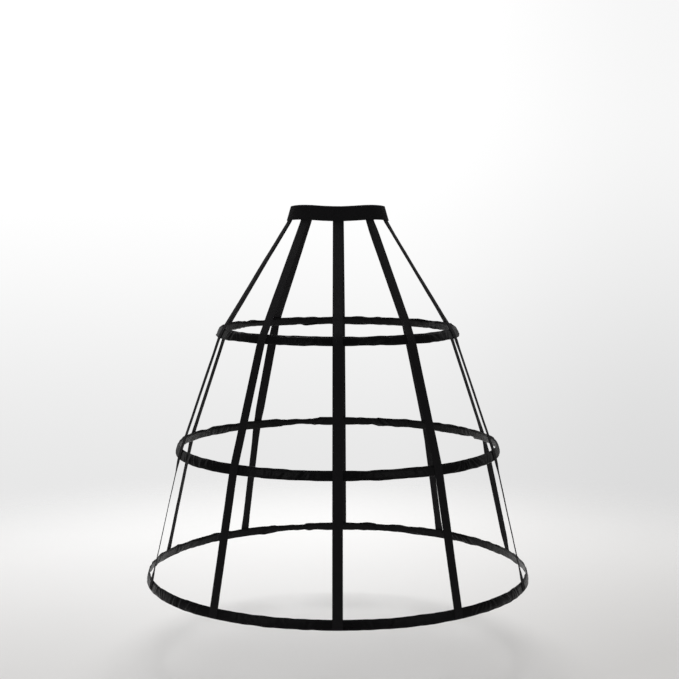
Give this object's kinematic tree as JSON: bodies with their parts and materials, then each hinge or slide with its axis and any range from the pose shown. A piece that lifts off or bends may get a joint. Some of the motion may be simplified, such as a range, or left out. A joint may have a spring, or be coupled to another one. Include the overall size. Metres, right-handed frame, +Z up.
{
  "type": "crinoline cage",
  "caption": "Open crinoline cage of sprung hoops in satin casings, hung on flat tapes from an elastic waistband and worn under a skirt to hold it out.",
  "frame": {"origin": "centre of the waist opening at the waistband's mid-height", "axes": "+Z up along the wearer, centre front faces -Y, +X to the right as seen from the front"},
  "size_m": [1.0073, 1.0108, 0.9803],
  "materials": {
    "elastic": "woven elastic",
    "tape": "flat woven tape",
    "satin": "satin",
    "spring_steel": "bright",
    "sleeve_brass": "satin"
  },
  "bodies": {
    "root": {"waistband": "elastic", "strap_front": "tape", "strap_front_right": "tape", "strap_right_front": "tape", "strap_right_back": "tape", "strap_back_right": "tape", "strap_back": "tape", "strap_back_left": "tape", "strap_left_back": "tape", "strap_left_front": "tape", "strap_front_left": "tape", "hoop_casing_top": "satin", "hoop_casing_middle": "satin", "hoop_casing_bottom": "satin", "hoop_bone_top": "spring_steel", "hoop_bone_middle": "spring_steel", "hoop_bone_bottom": "spring_steel", "bone_sleeve_top": "sleeve_brass", "bone_sleeve_middle": "sleeve_brass", "bone_sleeve_bottom": "sleeve_brass"}
  },
  "joints": []
}
